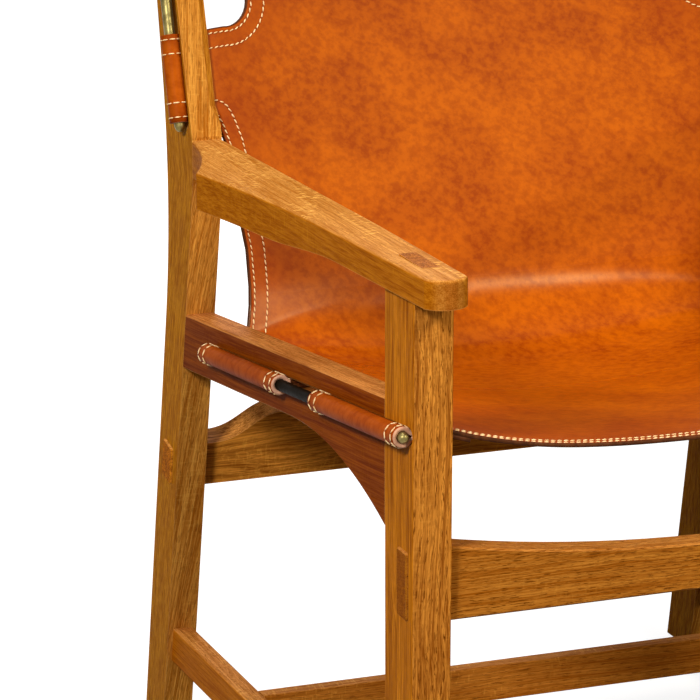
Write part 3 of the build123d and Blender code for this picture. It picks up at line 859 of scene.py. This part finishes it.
def leather(name, pale, dark, shine, rough=None):
    """A leather finish, given back with its tree, its shader and its colour to work on"""
    material = bpy.data.materials.new(name)
    material.use_nodes = True
    tree = material.node_tree
    shader = tree.nodes["Principled BSDF"]
    place = put(tree, "ShaderNodeUVMap", {"uv_map": "cut"}).outputs[0]
    skin_side = put(
        tree, "ShaderNodeGroup", {"node_tree": hide}, {"Vector": place, "Pale": pale, "Dark": dark}
    )
    tree.links.new(skin_side.outputs["Color"], shader.inputs["Base Color"])
    if rough:
        uneven = ramp(tree, skin_side.outputs["Clouds"], 0.0, 1.0, rough, rough + 0.08)
        tree.links.new(uneven, shader.inputs["Roughness"])
    tree.links.new(skin_side.outputs["Normal"], shader.inputs["Normal"])
    shader.inputs["Specular IOR Level"].default_value = shine
    return material, tree, shader, skin_side.outputs["Color"]


def from_edge(tree):
    """Distance from the cut's edge, as the sheet carries it"""
    return put(tree, "ShaderNodeAttribute", {"attribute_name": "edge_distance"}).outputs["Fac"]


# Along the sheet: sitting polishes it from the front of the seat to the bend, up to where
# the back starts. The colour darkens towards the top of the back and towards the front hem.
polish_from = -0.34
polish_full = -0.06
polish_fades = 0.03
polish_ends = 0.08
dull = 0.5
polished = 0.23
back_dark_from = 0.1
back_dark_full = 0.46
front_dark_full = -0.5
front_dark_from = -0.2

grain_side, tree, shader, tone = leather("waxed_leather", colour(190, 92, 2), colour(146, 57, 1), 0.11)
cut_place = put(tree, "ShaderNodeUVMap", {"uv_map": "cut"}).outputs[0]
along_cut = put(tree, "ShaderNodeSeparateXYZ", None, {0: cut_place}).outputs["Y"]
sat_on = ramp(tree, along_cut, polish_from, polish_full)
below_back = ramp(tree, along_cut, polish_fades, polish_ends, 1.0, 0.0)
sat_on = sums(tree, "MULTIPLY", sat_on, below_back)
tree.links.new(ramp(tree, sat_on, 0.0, 1.0, dull, polished), shader.inputs["Roughness"])
shader.inputs["Specular Tint"].default_value = (1.0, 0.9, 0.55, 1.0)
back_darkening = ramp(tree, along_cut, back_dark_from, back_dark_full, 0.1, 0.55)
tone = blend_colour(tree, back_darkening, tone, colour(225, 205, 190), "MULTIPLY")
front_end = ramp(tree, along_cut, front_dark_full, front_dark_from, 0.9, 0.0)
tone = blend_colour(tree, front_end, tone, colour(212, 198, 180), "MULTIPLY")
margin = from_edge(tree)
tone = blend_colour(tree, ramp(tree, margin, 0.0, 0.07, 0.5, 0.0), tone, colour(138, 48, 2))
tone = blend_colour(tree, ramp(tree, margin, 0.0006, 0.002, 0.85, 0.0), tone, colour(40, 14, 4))
# Painted shade: a thin dark line along each row of stitches, for the groove that the thread presses into the
# leather.
for row in (near_row, far_row):
    off_row = sums(tree, "ABSOLUTE", sums(tree, "SUBTRACT", margin, row))
    tone = blend_colour(tree, ramp(tree, off_row, 0.0004, 0.0014, 0.4, 0.0), tone, colour(90, 30, 2))
tree.links.new(tone, shader.inputs["Base Color"])

sleeve_grain_side, tree, shader, tone = leather(
    "sleeve_leather", colour(170, 78, 10), colour(138, 54, 4), 0.012, 0.4
)
sleeve_margin = ramp(tree, from_edge(tree), 0.0, 0.02, 0.5, 0.0)
tone = blend_colour(tree, sleeve_margin, tone, colour(110, 36, 4))
tree.links.new(tone, shader.inputs["Base Color"])

burnished_edge = leather("burnished_edge", colour(92, 48, 20), colour(50, 22, 8), 0.05, 0.4)[0]
flesh_side = leather("flesh_side", colour(176, 108, 62), colour(134, 76, 38), 0.02, 0.75)[0]
raw_edge = leather("raw_edge", colour(214, 164, 132), colour(168, 116, 86), 0.01, 0.7)[0]

# Sheet and sleeves each have a face, an edge and a back, in an order that the thickness
# counts on from the face.
sheet_finishes = (grain_side, burnished_edge, flesh_side)
sleeve_finishes = (sleeve_grain_side, raw_edge, flesh_side)
for material in sheet_finishes + sleeve_finishes:
    sling_sheet.materials.append(material)
for face in sling_sheet.polygons:
    middle = sum((flat_points[i] for i in face.vertices), Vector((0.0, 0.0))) / len(face.vertices)
    if sleeve_start < abs(middle.x) < sleeve_end:
        face.material_index = len(sheet_finishes)
wall = sling.modifiers.new("leather thickness", "SOLIDIFY")
wall.thickness = thick
wall.offset = -1.0
wall.use_even_offset = True
wall.material_offset = 2
wall.material_offset_rim = 1


def flat_area(path):
    """Area inside a closed outline"""
    return abs(sum(a[0] * b[1] - b[0] * a[1] for a, b in zip(path, path[1:] + path[:1]))) / 2


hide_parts("sling")
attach(sling, "root")
flat_area(whole_edge())


# Stitches: cream waxed thread in two rows inside every edge of the leather, which run on
# round the ends of the sleeves. Each stitch is a small bead, set slantwise in its row on
# the sheet and end to end with the next on the sleeves.

stitch_thick = 0.0013
stitch_lift = 0.0002
sheet_pitch = 0.0056
sheet_stitch = 0.005
sheet_slant = 12
sleeve_pitch = 0.0068
edge_step = 0.002
corner_step = 0.15
least_gap = 0.0004
seam_rows_end = 0.03

# A point drops out of its row where another edge lies nearer than this share of the row's
# inset. The sleeves' rows start this far through the slot, and stubs are left out.
true_inset = 0.985
sleeve_rows_from = 0.7
stub_points = 3


def fine_path(path, step):
    """Points along a closed outline, no further apart than the step"""
    points = []
    for a, b in zip(path, path[1:] + path[:1]):
        count = max(1, math.ceil((Vector(b) - Vector(a)).length / step))
        points += [Vector(a).lerp(Vector(b), i / count) for i in range(count)]
    return points


def row_inside(inset):
    """Runs of points that lie at one distance inside the cut's edge, round its corners too"""
    path = fine_path(whole_edge(), edge_step)
    beside = []
    for before, here, after in zip(path[-1:] + path[:-1], path, path[1:] + path[:1]):
        first = (here - before).orthogonal().normalized()
        last = (after - here).orthogonal().normalized()
        bend = first.angle_signed(last, 0.0)
        steps = max(1, round(abs(bend) / corner_step))
        for i in range(steps):
            inward = first.copy()
            inward.rotate(Matrix.Rotation(-bend * (i + 0.5) / steps, 2))
            beside.append(here + inward * inset)
    runs, run = [], []
    for point, gap in zip(beside, edge_distances(beside)):
        if gap <= inset * true_inset:
            continue
        if abs(point.x) < sheet_half - seam_rows_end:
            if not run or (point - run[-1]).length > least_gap:
                run.append(point)
        elif run:
            runs.append(run)
            run = []
    if run:
        runs.append(run)
    return runs


def part_rows(runs, on_sleeve):
    """Those stretches of the rows that lie round the rods, or those that don't"""
    in_slot = half_span + run_neck * sleeve_rows_from
    kept = []
    for run in runs:
        part = []
        for point in run:
            if (abs(point.x) > in_slot) == on_sleeve:
                part.append(point)
            elif part:
                kept.append(part)
                part = []
        if part:
            kept.append(part)
    return [part for part in kept if len(part) > stub_points]


def out_of_leather(point):
    """The way off the grain side at a point of the cut"""
    near = 0.0005
    sideways = sheet_place(point.x + near, point.y) - sheet_place(point.x - near, point.y)
    onward = sheet_place(point.x, point.y + near) - sheet_place(point.x, point.y - near)
    return sideways.cross(onward).normalized()


def thread_rows(name, rows):
    """The rows as edges on the hung sheet, with the way out of the leather at each point"""
    points, joins, ups = [], [], []
    for row in rows:
        for i, point in enumerate(row):
            ups.append(out_of_leather(point))
            points.append(sheet_place(point.x, point.y) + ups[-1] * stitch_lift)
            if i:
                joins.append((len(points) - 2, len(points) - 1))
    mesh = bpy.data.meshes.new(name)
    mesh.from_pydata(points, joins, [])
    facing = mesh.attributes.new("facing", "FLOAT_VECTOR", "POINT")
    for i, up in enumerate(ups):
        facing.data[i].vector = up
    obj = bpy.data.objects.new(name, mesh)
    bpy.context.scene.collection.objects.link(obj)
    return obj


thread = bpy.data.materials.new("waxed_thread")
thread.use_nodes = True
thread_tree = thread.node_tree
thread_shader = thread_tree.nodes["Principled BSDF"]
thread_place = put(thread_tree, "ShaderNodeTexCoord").outputs["Object"]
soil_per_metre = (260, 260, 260)
soil = ramp(thread_tree, cloud(thread_tree, thread_place, soil_per_metre, 2.0), 0.4, 0.7)
thread_tree.links.new(
    blend_colour(thread_tree, soil, colour(244, 214, 158), colour(212, 166, 104)),
    thread_shader.inputs["Base Color"],
)
thread_shader.inputs["Roughness"].default_value = 0.6

sewing = bpy.data.node_groups.new("sewing", "GeometryNodeTree")
sewing.is_modifier = True
given, shown = group_sockets(
    sewing,
    (
        ("Geometry", "NodeSocketGeometry", None),
        ("Pitch", "NodeSocketFloat", 0.01),
        ("Length", "NodeSocketFloat", 0.01),
        ("Thickness", "NodeSocketFloat", 0.001),
        ("Slant", "NodeSocketFloat", 0.0),
        ("Thread", "NodeSocketMaterial", None),
    ),
    (("Geometry", "NodeSocketGeometry"),),
)
curve = put(sewing, "GeometryNodeMeshToCurve", None, {"Mesh": given.outputs["Geometry"]})
spaced = put(
    sewing,
    "GeometryNodeResampleCurve",
    {"mode": "LENGTH"},
    {"Curve": curve.outputs[0], "Length": given.outputs["Pitch"]},
)
bead = put(sewing, "GeometryNodeMeshUVSphere", None, {"Segments": 6, "Rings": 5, "Radius": 0.5})
size = put(
    sewing,
    "ShaderNodeCombineXYZ",
    None,
    {"X": given.outputs["Length"], "Y": given.outputs["Thickness"], "Z": given.outputs["Thickness"]},
)
direction = put(sewing, "GeometryNodeInputTangent")
up = put(sewing, "GeometryNodeInputNamedAttribute", {"data_type": "FLOAT_VECTOR"}, {"Name": "facing"})
along_row = put(
    sewing,
    "FunctionNodeAxesToRotation",
    {"primary_axis": "Z", "secondary_axis": "X"},
    {"Primary Axis": up.outputs[0], "Secondary Axis": direction.outputs[0]},
)
lean_over = put(
    sewing, "FunctionNodeAxisAngleToRotation", None, {"Axis": (0, 0, 1), "Angle": given.outputs["Slant"]}
)
slanted = put(
    sewing,
    "FunctionNodeRotateRotation",
    {"rotation_space": "LOCAL"},
    {"Rotation": along_row.outputs[0], "Rotate By": lean_over.outputs[0]},
)
placed = put(
    sewing,
    "GeometryNodeInstanceOnPoints",
    None,
    {
        "Points": spaced.outputs[0],
        "Instance": bead.outputs[0],
        "Rotation": slanted.outputs[0],
        "Scale": size.outputs[0],
    },
)
real = put(sewing, "GeometryNodeRealizeInstances", None, {"Geometry": placed.outputs[0]})
smooth = put(sewing, "GeometryNodeSetShadeSmooth", None, {"Geometry": real.outputs[0]})
waxed = put(
    sewing,
    "GeometryNodeSetMaterial",
    None,
    {"Geometry": smooth.outputs[0], "Material": given.outputs["Thread"]},
)
sewing.links.new(waxed.outputs[0], shown.inputs["Geometry"])


def grow(obj, tree, values):
    """Run the tree on the object and keep its result as a plain mesh"""
    modifier = obj.modifiers.new("made", "NODES")
    modifier.node_group = tree
    for item in tree.interface.items_tree:
        if item.in_out == "INPUT" and item.name in values:
            modifier[item.identifier] = values[item.name]
    ready = obj.evaluated_get(bpy.context.evaluated_depsgraph_get())
    mesh = bpy.data.meshes.new_from_object(ready)
    obj.modifiers.remove(modifier)
    obj.data = mesh


rows = row_inside(near_row) + row_inside(far_row)
for name, on_sleeve, pitch, long, slant in (
    ("stitches", False, sheet_pitch, sheet_stitch, sheet_slant),
    ("sleeve_stitches", True, sleeve_pitch, sleeve_pitch, 0),
):
    row_object = thread_rows(name, part_rows(rows, on_sleeve))
    grow(
        row_object,
        sewing,
        {
            "Pitch": pitch,
            "Length": long,
            "Thickness": stitch_thick,
            "Slant": math.radians(slant),
            "Thread": thread,
        },
    )
    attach(row_object, "root")


# Studio: a grey floor and a dim sky that the camera sees as white, a soft lamp on the
# left of the front, one overhead, one behind, two small warm ones on the right for the
# gloss, and the camera.

def white_to_camera(tree):
    """1 where the camera or a reflection sees the surface, and 0 where light does"""
    ray = put(tree, "ShaderNodeLightPath")
    seen = sums(tree, "MAXIMUM", ray.outputs["Is Camera Ray"], ray.outputs["Is Glossy Ray"])
    return sums(tree, "MAXIMUM", seen, ray.outputs["Is Transmission Ray"])


world = bpy.data.worlds.new("studio")
bpy.context.scene.world = world
world.use_nodes = True
sky_tree = world.node_tree
sky_tree.nodes.clear()
soft = put(sky_tree, "ShaderNodeBackground", None, {"Color": (1, 1, 1, 1), "Strength": 0.14})
white = put(sky_tree, "ShaderNodeBackground", None, {"Color": (1, 1, 1, 1), "Strength": 1.0})
sky = put(
    sky_tree,
    "ShaderNodeMixShader",
    None,
    {0: white_to_camera(sky_tree), 1: soft.outputs[0], 2: white.outputs[0]},
)
put(sky_tree, "ShaderNodeOutputWorld", None, {"Surface": sky.outputs[0]})

floor_reach = 6.0
floor_height = -0.0005
floor_mesh = bpy.data.meshes.new("floor")
corner_ways = ((-1, -1), (1, -1), (1, 1), (-1, 1))
floor_corners = [(x * floor_reach, y * floor_reach, floor_height) for x, y in corner_ways]
floor_mesh.from_pydata(floor_corners, [], [(0, 1, 2, 3)])
floor = bpy.data.objects.new("floor", floor_mesh)
bpy.context.scene.collection.objects.link(floor)
floor_paint = bpy.data.materials.new("floor_paint")
floor_paint.use_nodes = True
floor_tree = floor_paint.node_tree
floor_shader = floor_tree.nodes["Principled BSDF"]
floor_shader.inputs["Base Color"].default_value = (0.15, 0.15, 0.15, 1.0)
floor_shader.inputs["Roughness"].default_value = 0.9
floor_shader.inputs["Specular IOR Level"].default_value = 0.0

# The camera sees the floor as chalk that keeps the shadow, with a glow that rises to
# white away from the chair.
shadow_reach = 0.9
white_from = 2.4
chalk = put(floor_tree, "ShaderNodeBsdfDiffuse", None, {"Color": (0.4, 0.4, 0.4, 1)})
floor_place = put(floor_tree, "ShaderNodeTexCoord").outputs["Object"]
away = put(floor_tree, "ShaderNodeVectorMath", {"operation": "LENGTH"}, {0: floor_place}).outputs["Value"]
brightness = ramp(floor_tree, away, shadow_reach, white_from, 0.8, 1.0)
glow = put(floor_tree, "ShaderNodeEmission", None, {"Color": (1, 1, 1, 1), "Strength": brightness})
lit = put(floor_tree, "ShaderNodeAddShader", None, {0: chalk.outputs[0], 1: glow.outputs[0]})
seen_floor = put(
    floor_tree,
    "ShaderNodeMixShader",
    None,
    {0: white_to_camera(floor_tree), 1: floor_shader.outputs[0], 2: lit.outputs[0]},
)
floor_tree.links.new(seen_floor.outputs[0], floor_tree.nodes["Material Output"].inputs["Surface"])
floor_mesh.materials.append(floor_paint)


daylight = (1.0, 1.0, 1.0)
lamp_target = Vector((0, 0, 0.45))
for name, place, size, power, tint in (
    ("key_lamp", (-2.05, -1.7, 2.12), 0.6, 86, daylight),
    ("top_lamp", (-0.5, 0.1, 3.1), 1.0, 34, daylight),
    ("front_lamp", (0.92, -2.06, 2.0), 0.45, 31, (1.0, 0.96, 0.78)),
    ("side_lamp", (1.84, -1.77, 1.32), 0.3, 18, (1.0, 0.95, 0.72)),
    ("back_lamp", (0.9, 2.9, 1.9), 1.0, 40, daylight),
):
    light = bpy.data.lights.new(name, "AREA")
    light.shape = "DISK"
    light.size = size
    light.energy = power
    light.color = tint
    lamp = bpy.data.objects.new(name, light)
    bpy.context.scene.collection.objects.link(lamp)
    lamp.location = place
    lamp.rotation_euler = (lamp_target - Vector(place)).to_track_quat("-Z", "Y").to_euler()

# The camera stands as the photograph's did, and shifts its frame to the photograph's part
# of the chair.
camera_data = bpy.data.cameras.new("camera")
camera_data.sensor_width = 36.0
camera_data.lens = 228.857
camera_data.shift_x = -0.1143
camera_data.shift_y = 0.0714
camera_data.clip_end = 50.0
camera = bpy.data.objects.new("camera", camera_data)
bpy.context.scene.collection.objects.link(camera)
camera.location = (-1.4995, -3.4877, 1.4681)
camera.rotation_euler = (math.radians(73.9), 0.0, math.radians(-21.25))
bpy.context.scene.camera = camera
bpy.context.scene.view_settings.view_transform = "Standard"
